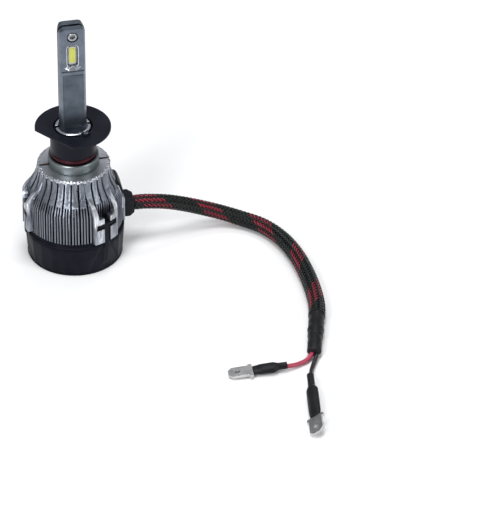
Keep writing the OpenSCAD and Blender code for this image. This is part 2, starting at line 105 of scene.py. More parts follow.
def area_light(name, azimuth, elevation, size, power):
    data = bpy.data.lights.new(name, "AREA")
    data.shape = "RECTANGLE"
    data.size, data.size_y = size
    data.energy = power
    light = bpy.data.objects.new(name, data)
    away = look_from(radians(azimuth), radians(elevation))
    light.location = BULB_MIDDLE + LIGHT_DISTANCE * away
    light.rotation_euler = aimed(light.location, BULB_MIDDLE)
    bpy.context.scene.collection.objects.link(light)


def make_light():
    world = bpy.data.worlds.new("studio")
    world.use_nodes = True
    background = world.node_tree.nodes["Background"]
    background.inputs["Color"].default_value = SKY_COLOUR
    background.inputs["Strength"].default_value = SKY_STRENGTH
    bpy.context.scene.world = world
    for light in LIGHTS:
        area_light(*light)


def make_floor():
    mesh = bpy.data.meshes.new("floor")
    h = FLOOR_HALF
    mesh.from_pydata([(-h, -h, 0), (h, -h, 0), (h, h, 0), (-h, h, 0)], [], [(0, 1, 2, 3)])
    floor_obj = bpy.data.objects.new("floor", mesh)
    bpy.context.scene.collection.objects.link(floor_obj)
    mesh.materials.append(flat_floor())


# ---------------------------------------------------------------- helpers for materials

# Noise scales, per metre
PAPER = 40
MOTTLE = 180
CLOUD = 260
STRAND_CLOUD = 420
PATCHY_GLOSS = 500
SATIN = 900
SPARK_GRAIN = 3500
BLAST_GRAIN = 6000

# Rounded edges and bump heights, in millimetres
METAL_EDGE = 0.08
PLASTIC_EDGE = 0.12
METAL_BUMP = 0.02
PLASTIC_BUMP = 0.03
STRAND_BUMP = 0.05

def material(name, colour, roughness, metallic=0.0, **sockets):
    """Principled material; sockets are set on the shader itself."""
    mat = bpy.data.materials.new(name)
    mat.use_nodes = True
    shader = mat.node_tree.nodes["Principled BSDF"]
    shader.inputs["Base Color"].default_value = (*colour, 1)
    shader.inputs["Roughness"].default_value = roughness
    shader.inputs["Metallic"].default_value = metallic
    for key, value in sockets.items():
        shader.inputs[key.replace("_", " ")].default_value = value
    mat.diffuse_color = (*colour, 1)
    return mat


def node(mat, kind, inputs=None, **settings):
    """Adds a node; an input given as a socket is linked, any other value is set."""
    tree = mat.node_tree
    new = tree.nodes.new(kind)
    for key, value in settings.items():
        setattr(new, key, value)
    for key, value in (inputs or {}).items():
        if isinstance(value, bpy.types.NodeSocket):
            tree.links.new(value, new.inputs[key])
        else:
            new.inputs[key].default_value = value
    return new


def join(mat, socket, name):
    """Links a socket to the shader's input."""
    mat.node_tree.links.new(socket, mat.node_tree.nodes["Principled BSDF"].inputs[name])


def place(mat):
    return node(mat, "ShaderNodeTexCoord").outputs["Object"]


def stretched(mat, scale):
    return node(mat, "ShaderNodeMapping", {"Vector": place(mat), "Scale": scale}).outputs["Vector"]


def maths(mat, operation, *values):
    inputs = dict(enumerate(values))
    return node(mat, "ShaderNodeMath", inputs, operation=operation).outputs[0]


def mapped(mat, value, low, high, at_low=0.0, at_high=1.0):
    """Number that goes from at_low to at_high as a length passes low to high mm."""
    return node(mat, "ShaderNodeMapRange",
                {"Value": value, "From Min": low * MM, "From Max": high * MM,
                 "To Min": at_low, "To Max": at_high}).outputs["Result"]


def noise(mat, scale, detail=3.0, stretch=None):
    vector = stretched(mat, stretch) if stretch else place(mat)
    return node(mat, "ShaderNodeTexNoise", {"Vector": vector, "Scale": scale, "Detail": detail,
                                            "Roughness": 0.55}).outputs["Fac"]


def ramp(mat, fac, stops):
    """Colour ramp from (position, grey or colour) stops."""
    new = node(mat, "ShaderNodeValToRGB", {"Fac": fac})
    elements = new.color_ramp.elements
    while len(elements) < len(stops):
        elements.new(0.5)
    for element, (at, value) in zip(elements, stops):
        element.position = at
        element.color = (*value, 1) if hasattr(value, "__len__") else (value, value, value, 1)
    return new.outputs["Color"]


def bump(mat, height, strength, distance, soft_edge=0.0):
    """Bump, over edges rounded by soft_edge metres."""
    inputs = {"Height": height, "Strength": strength, "Distance": distance}
    if soft_edge:
        inputs["Normal"] = node(mat, "ShaderNodeBevel", {"Radius": soft_edge},
                                samples=4).outputs["Normal"]
    join(mat, node(mat, "ShaderNodeBump", inputs).outputs["Normal"], "Normal")


def flat_floor():
    mat = material("floor_paper", (0.9, 0.9, 0.9), 0.9)
    join(mat, ramp(mat, noise(mat, PAPER), [(0.3, 0.88), (0.7, 0.9)]), "Base Color")
    return mat


def satin(mat, roughness, stretch=None):
    """Roughness that varies finely between two values."""
    gloss = ramp(mat, noise(mat, SATIN, 2, stretch), [(0.3, roughness[0]), (0.7, roughness[1])])
    join(mat, gloss, "Roughness")


def anodised(name, dark, light, roughness=(0.3, 0.45), grain=(1, 1, 1)):
    """Anodised or turned aluminium: fine cloudy colour, blasted or drawn grain, rounded edges."""
    mat = material(name, light, roughness[0], 1.0)
    cloud = noise(mat, CLOUD, 5, grain)
    join(mat, ramp(mat, cloud, [(0.35, dark), (0.65, light)]), "Base Color")
    satin(mat, roughness, grain)
    bump(mat, noise(mat, BLAST_GRAIN, 2, grain), 0.25, METAL_BUMP * MM, METAL_EDGE * MM)
    return mat


# Radius and height of the fins' tips, up to the shoulder, where everything counts as standing out;
# the painted groove shade and painted highlight are measured from them
FIN_TIPS = [(15.2, 12), (15.2, 22.3), (14.1, 24.9), (13.1, 26.7), (12.3, 28.3), (11.8, 29.8),
            (11.5, 31.4), (11.5, 33.3), (0, 33.5), (0, 34)]
TIP_SCALE = 20                    # radius that the ramp shows as 1
PAINTED_SHADE_DEPTHS = (0.2, 1.3)        # below the tips: where the painted groove shade begins, and where it is darkest
PAINTED_HIGHLIGHT_HEIGHTS = (0.75, 0.35)      # above the tips: where the painted highlight is brightest, and where it ends
PAINTED_HIGHLIGHT_RISE = (18, 19.5)           # heights over which the painted highlight grows from 0.35 to full strength


def finned(name):
    """Blasted aluminium with painted shade down the grooves and a painted highlight where it
    stands out most, stronger on the upper fins.
    """
    mat = material(name, (0.36, 0.39, 0.44), 0.36, 1.0)
    flat = node(mat, "ShaderNodeVectorMath", {0: place(mat), 1: (1, 1, 0)}, operation="MULTIPLY")
    radius = node(mat, "ShaderNodeVectorMath", {0: flat.outputs["Vector"]},
                  operation="LENGTH").outputs["Value"]
    height = node(mat, "ShaderNodeSeparateXYZ", {"Vector": place(mat)}).outputs["Z"]
    low, high = FIN_TIPS[0][1], FIN_TIPS[-1][1]
    level = mapped(mat, height, low, high)
    stops = [((z - low) / (high - low), r / TIP_SCALE) for r, z in FIN_TIPS]
    tips = maths(mat, "MULTIPLY", ramp(mat, level, stops), TIP_SCALE * MM)
    depth = maths(mat, "SUBTRACT", tips, radius)
    # Painted shade: darker the deeper a point lies below the fins' tips
    painted_groove_shade = mapped(mat, depth, *PAINTED_SHADE_DEPTHS, 0.55, 0.0)
    # Painted highlight on the edges that stand out, weaker below the upper fins
    painted_edge_highlight = mapped(mat, depth, -PAINTED_HIGHLIGHT_HEIGHTS[0], -PAINTED_HIGHLIGHT_HEIGHTS[1], 0.32, 0.0)
    painted_edge_highlight = maths(mat, "MULTIPLY", painted_edge_highlight, mapped(mat, height, *PAINTED_HIGHLIGHT_RISE, 0.35))
    cloud = maths(mat, "MULTIPLY", noise(mat, CLOUD, 5, (1, 1, 0.3)), 0.08)
    shade_highlight_and_cloud = maths(mat, "ADD", maths(mat, "ADD", painted_groove_shade, cloud), painted_edge_highlight)
    # Colours run from the painted groove shade, through the metal's own colour, to the painted
    # highlight
    join(mat, ramp(mat, shade_highlight_and_cloud, [(0.04, (0.012, 0.013, 0.017)), (0.35, (0.085, 0.092, 0.11)),
                               (0.6, (0.22, 0.24, 0.28)), (0.9, (0.56, 0.58, 0.62))]),
         "Base Color")
    satin(mat, (0.35, 0.46))
    bump(mat, noise(mat, BLAST_GRAIN, 2), 0.2, METAL_BUMP * MM, METAL_EDGE * MM)
    return mat


def moulded(name, dark, light, roughness=(0.35, 0.5), **sockets):
    """Moulded plastic or rubber with a faint spark-eroded grain."""
    mat = material(name, light, roughness[0], 0.0, **sockets)
    join(mat, ramp(mat, noise(mat, MOTTLE, 4), [(0.35, dark), (0.65, light)]), "Base Color")
    gloss = noise(mat, PATCHY_GLOSS, 3)
    join(mat, ramp(mat, gloss, [(0.3, roughness[0]), (0.7, roughness[1])]), "Roughness")
    bump(mat, noise(mat, SPARK_GRAIN, 3), 0.3, PLASTIC_BUMP * MM, PLASTIC_EDGE * MM)
    return mat


FILAMENTS = 5                     # side by side in each strand of the braid


def filament(name, dark, light):
    """Flat bundle of monofilaments across the strand's own width, with painted shade at its two
    edges and between filaments, and a painted highlight along each filament.
    """
    mat = material(name, light, 0.3, 0.0, Specular_IOR_Level=0.28)
    across = node(mat, "ShaderNodeSeparateXYZ",
                  {"Vector": node(mat, "ShaderNodeUVMap", uv_map="strand").outputs["UV"]})
    across = across.outputs["X"]
    # Ridges across the filaments: their relief for the bump, and in the colour a painted highlight
    # along each filament with painted shade between them
    ridge = maths(mat, "SINE", maths(mat, "MULTIPLY", across, FILAMENTS * pi))
    ridge = maths(mat, "ABSOLUTE", ridge)
    # Painted shade towards the strand's two edges
    painted_edge_shade = maths(mat, "SINE", maths(mat, "MULTIPLY", across, pi))
    painted_edge_shade = maths(mat, "POWER", painted_edge_shade, 2)
    painted_sheen_and_tone = maths(mat, "MULTIPLY", ridge, noise(mat, STRAND_CLOUD, 3))
    painted_sheen_and_tone = maths(mat, "MULTIPLY", painted_sheen_and_tone, painted_edge_shade)
    # From the painted shade (dark) to the painted sheen on the strand's own colour (light)
    join(mat, ramp(mat, painted_sheen_and_tone, [(0.07, dark), (0.36, light)]), "Base Color")
    satin(mat, (0.2, 0.42))
    bump(mat, ridge, 0.7, STRAND_BUMP * MM)
    return mat


# By slot: a name, a dark and a light colour, and the range of its roughness
METALS = {
    "steel": ("ground_steel", (0.3, 0.31, 0.32), (0.44, 0.45, 0.46), (0.24, 0.34)),
    "copper": ("dull_copper", (0.03, 0.014, 0.01), (0.08, 0.038, 0.024), (0.4, 0.55)),
    "bronze": ("sintered_bronze", (0.4, 0.27, 0.13), (0.58, 0.42, 0.22)),
    "bright_aluminium": ("neck_metal", (0.16, 0.185, 0.188), (0.23, 0.26, 0.263), (0.3, 0.42),
                         (1, 1, 4)),
    "polished": ("cut_facets", (0.5, 0.52, 0.56), (0.62, 0.64, 0.68), (0.22, 0.3)),
    "stem_aluminium": ("stem_metal", (0.11, 0.13, 0.16), (0.17, 0.2, 0.24), (0.3, 0.42)),
    "cover_aluminium": ("cover_metal", (0.07, 0.085, 0.105), (0.11, 0.13, 0.16), (0.3, 0.42)),
    "tinned_brass": ("tin_plate", (0.4, 0.405, 0.4), (0.58, 0.58, 0.57), (0.28, 0.42)),
}
PLASTICS = {
    "black_plastic": ("housing_plastic", (0.004, 0.0048, 0.009), (0.008, 0.009, 0.016),
                      (0.34, 0.46)),
    "fan_plastic": ("impeller_plastic", (0.008, 0.009, 0.013), (0.016, 0.017, 0.023),
                    (0.36, 0.5)),
    "circuit_board": ("solder_mask", (0.01, 0.09, 0.03), (0.02, 0.14, 0.05), (0.2, 0.3)),
    "component_plastic": ("component_body", (0.015, 0.015, 0.018), (0.04, 0.04, 0.045)),
    "red_insulation": ("red_pvc", (0.34, 0.03, 0.065), (0.44, 0.045, 0.09), (0.3, 0.4)),
    "wire_insulation": ("pale_pvc", (0.55, 0.5, 0.36), (0.68, 0.64, 0.5), (0.3, 0.4)),
    "led_board": ("white_solder_mask", (0.72, 0.72, 0.7), (0.82, 0.82, 0.8), (0.3, 0.4)),
    "led_ceramic": ("white_ceramic", (0.5, 0.5, 0.46), (0.6, 0.6, 0.55), (0.3, 0.4)),
    "phosphor": ("led_phosphor", (0.5, 0.52, 0.07), (0.62, 0.64, 0.12), (0.3, 0.4)),
    "red_rubber": ("silicone_red", (0.028, 0.002, 0.006), (0.05, 0.004, 0.012), (0.4, 0.5)),
    "black_rubber": ("grommet_rubber", (0.005, 0.006, 0.008), (0.01, 0.011, 0.014),
                     (0.42, 0.55)),
    "liner": ("braid_liner", (0.003, 0.003, 0.004), (0.006, 0.006, 0.007), (0.6, 0.7)),
    "heat_shrink": ("shrunk_sleeve", (0.006, 0.006, 0.007), (0.012, 0.0125, 0.014),
                    (0.4, 0.52)),
    "black_insulation": ("black_pvc", (0.006, 0.006, 0.007), (0.012, 0.012, 0.014),
                         (0.25, 0.35)),
    "magnet": ("ferrite", (0.02, 0.02, 0.02), (0.04, 0.04, 0.042), (0.5, 0.65)),
    "collar_black": ("collar_black", (0.007, 0.008, 0.013), (0.011, 0.012, 0.019), (0.3, 0.42)),
}
# Dark is the painted shade at the strands' edges and between filaments; light is the strands'
# colour with a painted sheen
BRAIDS = {
    "braid": ("braid_black", (0.0008, 0.001, 0.001), (0.012, 0.0175, 0.016)),
    "tracer": ("braid_crimson", (0.03, 0.003, 0.006), (0.37, 0.021, 0.05)),
}
# Duller than the usual 0.5
SHEENS = {"black_plastic": 0.08, "fan_plastic": 0.35, "red_rubber": 0.2, "black_rubber": 0.12,
          "heat_shrink": 0.18, "collar_black": 0.09}


def made_material(slot):
    if slot == "sink_aluminium":
        return finned("sink_metal")
    if slot in BRAIDS:
        return filament(*BRAIDS[slot])
    if slot in METALS:
        return anodised(*METALS[slot])
    return moulded(*PLASTICS[slot], Specular_IOR_Level=SHEENS.get(slot, 0.5))


def dress_cad_nodes():
    """Gives every CAD node the material of its slot."""
    made = {name: made_material(name) for name in ("tracer", "liner", "polished")}
    for part in frame["record"]["subparts"]:
        slot = part["material_slot"]
        if slot not in made:
            made[slot] = made_material(slot)
        obj = bpy.data.objects[part["node"]]
        for i in range(max(1, len(obj.material_slots))):
            if obj.material_slots:
                obj.material_slots[i].material = made[slot]
            else:
                obj.data.materials.append(made[slot])
        width = EDGES.get(part["node"], USUAL_EDGE)
        if width:
            soften(obj, width)
    return made


# Edge widths of the CAD nodes, in millimetres; none for those that are replaced or already round
USUAL_EDGE = 0.05
EDGES = {"braided_sleeve": 0, "sleeve_boot": 0, "red_lead": 0, "black_lead": 0, "o_ring": 0,
         "fan_housing": 0, "impeller": 0, "red_terminal_sleeve": 0, "black_terminal_sleeve": 0,
         "heat_sink_front": 0.09, "heat_sink_rear": 0.09, "stem_front_shell": 0.28,
         "stem_rear_shell": 0.28, "stem_front_cover": 0.07, "stem_rear_cover": 0.07,
         "flange_collar": 0.12, "cable_grommet": 0.35, "red_terminal": 0.14,
         "black_terminal": 0.14, "fan_frame": 0.12, "led_phosphor_front": 0.06,
         "led_phosphor_rear": 0.06}


# ---------------------------------------------------------------- helpers for meshes

def piece(name, verts, faces, body, mats, instead=(), smooth=True):
    """New mesh piece in millimetres that rides on a body and may stand for CAD nodes."""
    mesh = bpy.data.meshes.new(name)
    mesh.from_pydata([Vector(v) * MM for v in verts], [], faces)
    mesh.validate()
    if smooth:
        mesh.shade_smooth()
    obj = bpy.data.objects.new(name, mesh)
    bpy.context.scene.collection.objects.link(obj)
    for mat in mats:
        mesh.materials.append(mat)
    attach(obj, body)
    if instead:
        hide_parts(*instead)
    return obj


WELD_DISTANCE = 1e-6
FLAT_ANGLE = radians(0.6)
SHARP_ANGLE = radians(28)
FACE_WEIGHT = 90


def soften(obj, width, segments=2, clean=True):
    """Bevels sharp edges by width mm; clean first joins the tessellation's flat pieces."""
    if clean:
        obj.modifiers.new("weld", "WELD").merge_threshold = WELD_DISTANCE
        flat = obj.modifiers.new("flat", "DECIMATE")
        flat.decimate_type = "DISSOLVE"
        flat.angle_limit = FLAT_ANGLE
    edge = obj.modifiers.new("edge", "BEVEL")
    edge.width = width * MM
    edge.segments = segments
    edge.limit_method = "ANGLE"
    edge.angle_limit = SHARP_ANGLE
    edge.miter_outer = "MITER_ARC"
    normals = obj.modifiers.new("normals", "WEIGHTED_NORMAL")
    normals.weight = FACE_WEIGHT
    normals.keep_sharp = False
    for polygon in obj.data.polygons:
        polygon.use_smooth = True


def grid_faces(rows, columns, closed=True):
    """Quads between rows of points; closed joins each row's last point to its first."""
    last = columns if closed else columns - 1
    return [(r * columns + c, r * columns + (c + 1) % columns,
             (r + 1) * columns + (c + 1) % columns, (r + 1) * columns + c)
            for r in range(rows - 1) for c in range(last)]


def lofted(rings):
    """Closed skin over rings of equal length, capped at both ends."""
    count = len(rings[0])
    verts = [point for ring in rings for point in ring]
    faces = grid_faces(len(rings), count)
    faces.append(tuple(range(count - 1, -1, -1)))
    faces.append(tuple(range((len(rings) - 1) * count, len(rings) * count)))
    return verts, faces


def lathe(profile, segments, shift=lambda angle, r, z: 0.0):
    """Closed (r, z) profile turned about Z; shift moves a point outwards by place."""
    count = len(profile)
    verts = []
    for k in range(segments):
        angle = 2 * pi * k / segments
        for r, z in profile:
            reach = r + shift(angle, r, z)
            verts.append((reach * cos(angle), reach * sin(angle), z))
    faces = [(k * count + i, ((k + 1) % segments) * count + i,
              ((k + 1) % segments) * count + (i + 1) % count, k * count + (i + 1) % count)
             for k in range(segments) for i in range(count)]
    return verts, faces


def added(parts):
    """Joins several (verts, faces) into one."""
    verts, faces = [], []
    for more_verts, more_faces in parts:
        base = len(verts)
        verts += more_verts
        faces += [tuple(base + i for i in face) for face in more_faces]
    return verts, faces


def turned(shape, angle):
    """Copy of (verts, faces) turned about Z."""
    c, s = cos(angle), sin(angle)
    return [(x * c - y * s, x * s + y * c, z) for x, y, z in shape[0]], shape[1]


def arched(r_in, r_out, half_width, low, high):
    """Plate that follows a cylinder about Z, centred on +X."""
    loops, steps = [], 8
    for k in range(steps + 1):
        angle_in, angle_out = (asin(half_width / r) * (2 * k / steps - 1) for r in (r_in, r_out))
        loops.append([(r * cos(a), r * sin(a), z) for r, a, z in
                      ((r_in, angle_in, low), (r_out, angle_out, low),
                       (r_out, angle_out, high), (r_in, angle_in, high))])
    return lofted(loops)


def smooth_step(low, high, value):
    t = min(1.0, max(0.0, (value - low) / (high - low)))
    return t * t * (3 - 2 * t)


# ---------------------------------------------------------------- sweeps along a route

class Sweep:
    """Evenly spaced frames on a smooth curve through a route, in millimetres."""

    FINE = 24                     # points a span of the route is first cut into

    def __init__(self, route, step=0.5):
        points = [Vector(p) for p in route]
        dense = []
        for i in range(len(points) - 1):
            before, a, b = points[max(i - 1, 0)], points[i], points[i + 1]
            after = points[min(i + 2, len(points) - 1)]
            chord = (b - a).length
            start = (b - before) / max((b - before).length, 1e-6) * chord
            end = (after - a) / max((after - a).length, 1e-6) * chord
            for k in range(self.FINE):
                t = k / self.FINE
                dense.append((2 * t ** 3 - 3 * t ** 2 + 1) * a + (t ** 3 - 2 * t ** 2 + t) * start
                             + (3 * t ** 2 - 2 * t ** 3) * b + (t ** 3 - t ** 2) * end)
        dense.append(points[-1])
        places = [0.0]
        for a, b in zip(dense, dense[1:]):
            places.append(places[-1] + (b - a).length)
        self.length = places[-1]
        self.count = max(2, ceil(self.length / step)) + 1
        self.step = self.length / (self.count - 1)
        self.points = []
        j = 0
        for k in range(self.count):
            s = min(k * self.step, self.length)
            while j < len(places) - 2 and places[j + 1] < s:
                j += 1
            t = (s - places[j]) / max(places[j + 1] - places[j], 1e-9)
            self.points.append(dense[j].lerp(dense[j + 1], min(t, 1.0)))
        self.frames = []
        for k in range(self.count):
            ahead = self.points[min(k + 1, self.count - 1)] - self.points[max(k - 1, 0)]
            along = ahead.normalized()
            side = Vector((0, 0, 1)).cross(along).normalized()
            self.frames.append((along, side, along.cross(side)))

    def at(self, s):
        """Point, direction, side and up at arc length s."""
        place = min(max(s / self.step, 0.0), self.count - 1.0)
        k = min(int(place), self.count - 2)
        t = place - k
        axes = [a.lerp(b, t).normalized() for a, b in zip(self.frames[k], self.frames[k + 1])]
        return (self.points[k].lerp(self.points[k + 1], t), *axes)


def tube(sweep, outline, start, end, rings, sides):
    """Skin round a sweep; outline(s, angle) gives the two offsets, to the side and up."""
    loops = []
    for k in range(rings):
        s = start + (end - start) * k / (rings - 1)
        middle, _, side, up = sweep.at(s)
        loop = []
        for i in range(sides):
            a, b = outline(s, 2 * pi * i / sides)
            loop.append(middle + side * a + up * b)
        loops.append(loop)
    return lofted(loops)


# ---------------------------------------------------------------- cord

SLEEVE_ROUTE = [(18.9, 0, 15.2), (21.5, 0, 15.2), (24.5, 0.1, 14.8), (29.5, 0.9, 13.4),
                (35, 2.2, 10.9), (41, 3.3, 7.9), (47.5, 3.4, 5), (54, 1.3, 3.1),
                (60, -3.5, 2.5), (64.4, -10.9, 2.5), (67.1, -19.6, 2.5),
                (68.4, -28.7, 2.5), (68.9, -38, 2.5), (68.6, -46.3, 2.5), (67.9, -51, 2.5)]
BOOT_ROUTE = [(67.9, -51, 2.5), (66.9, -55, 2.5), (65.9, -59, 2.5), (64.9, -63, 2.4),
              (63.9, -67, 2.4), (62.9, -71, 2.3)]
RED_ROUTE = [(66.2, -55.2, 2.5), (65.2, -59.2, 2.5), (64.2, -63.2, 2.3), (63.2, -67.2, 2.1),
             (62.1, -70.9, 1.7), (60.3, -72.8, 1.2), (57.4, -74.4, 1.2), (54.5, -75.4, 1.6),
             (51, -75.7, 1.9), (47, -75.5, 1.7)]
BLACK_ROUTE = [(67.7, -55.6, 2.5), (66.7, -59.6, 2.5), (65.7, -63.6, 2.4), (64.7, -67.6, 2.1),
               (63.7, -71.2, 1.6), (62.3, -74.3, 1.1), (61, -77.2, 0.9), (60.1, -80.2, 1.4),
               (59.4, -83.5, 2.1), (58.9, -87.5, 2.3), (58.4, -91, 2.4)]
SLEEVE_D = 5
LEAD_D = 1.4
SLEEVE_THIN_R = 2.3               # at the grommet
SLEEVE_SPREAD = 0.3               # more than that, at the boot
SLEEVE_REST_Z = 2.72              # lowest middle of the sleeve, with the strands' own height

CARRIERS = 16                     # strands wound each way in the braid
BRAID_PITCH = 21.4                # one turn of a strand, along the sleeve
TRACERS = 7                       # neighbouring strands that are crimson
TRACER_START = -1
BRAID_WAVE = 0.13                 # how far a strand rises and dips
WAVE_CLIP = 1.7                   # above 1, the strand stays level over the two it crosses
STRAND_COVER = 0.37               # half a strand's width, as a share of its spacing
STRAND_STEP = 0.33                # between points along a strand
# Across a strand, edge to edge and back underneath: side, rise, and place over its width
STRAND_SECTION = ((-1, -0.05, 0.0), (-0.62, 0.07, 0.2), (0, 0.11, 0.5), (0.62, 0.07, 0.8),
                  (1, -0.05, 1.0), (0, -0.1, 0.5))
LINER_DEPTH = 0.36                # of the dark tube under the braid
LINER_SIDES = 24

BOOT_START = 2.2                  # the boot begins this far along its route
BOOT_LAP = 0.2                    # the sleeve ends this far inside it
BOOT_SPAN = 4.12                  # length of the boot route's first span


def sleeve_radius(s, length):
    """The sleeve is pulled thin at the grommet and spreads towards its boot."""
    return SLEEVE_THIN_R + SLEEVE_SPREAD * smooth_step(0.1 * length, 0.9 * length, s)


def rest_on_floor(route):
    """Route lifted where the sleeve's own radius needs it."""
    return [(x, y, max(z, SLEEVE_REST_Z)) for x, y, z in route]


def strand(sweep, start_angle, hand, half_width):
    """One flat strand of the braid, over two and under two of the other hand."""
    loops, count = [], int(sweep.length / STRAND_STEP) + 1
    twist = hand * 2 * pi / BRAID_PITCH
    for k in range(count):
        s = sweep.length * k / (count - 1)
        middle, along, side, up = sweep.at(s)
        angle = start_angle + twist * s
        wave = max(-1.0, min(1.0, WAVE_CLIP * hand * cos(CARRIERS / 2 * angle)))
        radius = sleeve_radius(s, sweep.length) - BRAID_WAVE + BRAID_WAVE * wave
        out = side * cos(angle) + up * sin(angle)
        round_way = up * cos(angle) - side * sin(angle)
        path = (along + round_way * twist * radius).normalized()
        across = path.cross(out).normalized()
        loop = []
        for offset, rise, _ in STRAND_SECTION:
            shift = offset * half_width
            drop = shift * shift / (2 * radius)
            loop.append(middle + out * (radius + rise - drop) + across * shift)
        loops.append(loop)
    return lofted(loops)


def braid(name, sweep, mats):
    """Two-up two-down tubular braid with a group of crimson strands, over a dark liner."""
    parts, tints = [], []
    half_width = pi * SLEEVE_D / CARRIERS * STRAND_COVER
    for hand in (1, -1):
        for i in range(CARRIERS):
            shape = strand(sweep, 2 * pi * (i + 0.25 * hand) / CARRIERS, hand, half_width)
            tracer = hand == 1 and (i - TRACER_START) % CARRIERS < TRACERS
            parts.append(shape)
            tints += [1 if tracer else 0] * len(shape[1])
    liner = tube(sweep, lambda s, a: radial(sleeve_radius(s, sweep.length) - LINER_DEPTH, a),
                 0, sweep.length, int(sweep.length), LINER_SIDES)
    parts.append(liner)
    tints += [2] * len(liner[1])
    verts, faces = added(parts)
    obj = piece(name, verts, faces, "lamp", mats)
    obj.data.polygons.foreach_set("material_index", tints)
    uv = obj.data.uv_layers.new(name="strand")
    ring = len(STRAND_SECTION)
    strand_verts = len(verts) - len(liner[0])
    for loop in obj.data.loops:
        i = loop.vertex_index
        if i < strand_verts:
            uv.data[loop.index].uv = (STRAND_SECTION[i % ring][2], (i // ring) * STRAND_STEP)
    return obj


def radial(radius, angle):
    return radius * cos(angle), radius * sin(angle)


def above_floor(verts, clearance):
    return [Vector((v.x, v.y, max(v.z, clearance))) for v in verts]


def lead(name, route, diameter, mat, cad_node):
    """Insulated lead along a route, as one open spline."""
    data = bpy.data.curves.new(name, "CURVE")
    data.dimensions = "3D"
    data.bevel_depth = diameter / 2 * MM
    data.bevel_resolution = 6
    data.use_fill_caps = True
    data.resolution_u = 8
    spline = data.splines.new("BEZIER")
    spline.bezier_points.add(len(route) - 1)
    for point, at in zip(spline.bezier_points, route):
        point.co = Vector(at) * MM
        point.handle_left_type = point.handle_right_type = "AUTO"
    obj = bpy.data.objects.new(name, data)
    bpy.context.scene.collection.objects.link(obj)
    data.materials.append(mat)
    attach(obj, "lamp")
    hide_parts(cad_node)
    return obj


BOOT_R = 2.45
BOOT_RINGS, BOOT_SIDES = 110, 48


def boot(mats):
    """Shrink tube over the sleeve's end, with a ridge, drawn in round the two leads."""
    sweep = Sweep(BOOT_ROUTE, 0.25)
    length = sweep.length

    def outline(s, angle):
        width = BOOT_R + 0.25 * smooth_step(BOOT_START + 1.2, BOOT_START, s)
        width += 0.16 * smooth_step(8.6, 9.4, s) - 0.2 * smooth_step(9.6, 12, s)
        width -= 0.16 * smooth_step(12.6, 13.3, s)
        tall = width - 0.55 * smooth_step(13, length, s)
        ripple = (0.05 * sin(2 * angle + 0.9 * s) * sin(0.8 * s)
                  + 0.03 * sin(5 * angle - 1.7 * s))
        close = sqrt(max(0.0, 1 - smooth_step(length - 0.9, length + 0.12, s) ** 2))
        open_edge = sqrt(max(0.02, 1 - (1 - min(1.0, (s - BOOT_START + 0.02) / 0.16)) ** 2))
        size = (0.78 + 0.22 * close) * (0.93 + 0.07 * open_edge)
        side, up = radial(1, angle)
        return side * (width + ripple) * size, up * (tall + ripple) * size

    verts, faces = tube(sweep, outline, BOOT_START, length, BOOT_RINGS, BOOT_SIDES)
    verts = above_floor(verts, 0.03)
    return piece("boot", verts, faces, "lamp", [mats["heat_shrink"]],
                 ["sleeve_boot"])


def lying(at, turn):
    """Matrix of a terminal that lies at a place with its roll, pitch and heading."""
    roll, pitch, heading = (radians(a) for a in turn)
    return (Matrix.Translation(at) @ Matrix.Rotation(heading, 4, "Z")
            @ Matrix.Rotation(pitch, 4, "Y") @ Matrix.Rotation(roll, 4, "X"))


# Place, turn, length, neck, crumple and seed of each terminal's shrink tube
RED_END = ((42.7, -75.2, 1.4), (0, 4, 178), 10.8, 3, 0.16, 5)
BLACK_END = ((56.8, -103, 2.4), (35, 2, -97), 20, 6, 0.09, 11)
NECK_R = 1.12                     # on the lead
CRIMP_WIDE, CRIMP_TALL = 0.93, 0.18      # more than that, over the crimp
MOUTH_NARROW, MOUTH_FLAT = 0.25, 0.42    # less again, on the tab
DENTS = 16
END_RINGS, END_SIDES = 90, 40


def shrunk_sleeve(name, end, mats, instead):
    """Shrink tube over a crimp: round on the lead, flattened and crumpled on the crimp."""
    at, turn, length, neck, crumple, seed = end
    rng = random.Random(seed)
    dents = [(rng.uniform(neck, length), rng.uniform(0, 2 * pi), rng.uniform(0.6, 1.5),
              rng.uniform(-1, 0.7) * crumple) for _ in range(DENTS)]
    loops = []
    for k in range(END_RINGS):
        s = length * k / (END_RINGS - 1)
        wide = NECK_R + CRIMP_WIDE * smooth_step(neck - 0.7, neck + 1.5, s)
        wide -= MOUTH_NARROW * smooth_step(length - 2.4, length, s)
        tall = NECK_R + CRIMP_TALL * smooth_step(neck - 0.7, neck + 1.2, s)
        tall -= MOUTH_FLAT * smooth_step(length - 3.4, length - 0.3, s)
        lip = sqrt(max(0.03, 1 - (1 - min(1.0, (length - s) / 0.2)) ** 2))
        lip *= sqrt(max(0.03, 1 - (1 - min(1.0, (s + 0.01) / 0.15)) ** 2)) * 0.1 + 0.9
        loop = []
        for i in range(END_SIDES):
            angle = 2 * pi * i / END_SIDES
            dent = 0.0
            for along, way, size, depth in dents:
                off = (angle - way + pi) % (2 * pi) - pi
                dent += depth * exp(-((s - along) / size) ** 2 - (off / 0.5) ** 2)
            loop.append(Vector((s - length, (wide + dent) * cos(angle) * (0.85 + 0.15 * lip),
                                (tall + dent) * sin(angle) * (0.7 + 0.3 * lip))))
        loops.append(loop)
    verts, faces = lofted(loops)
    pose = lying(at, turn)
    verts = above_floor([pose @ v for v in verts], 0.02)
    return piece(name, verts, faces, "lamp", [mats["heat_shrink"]], instead)


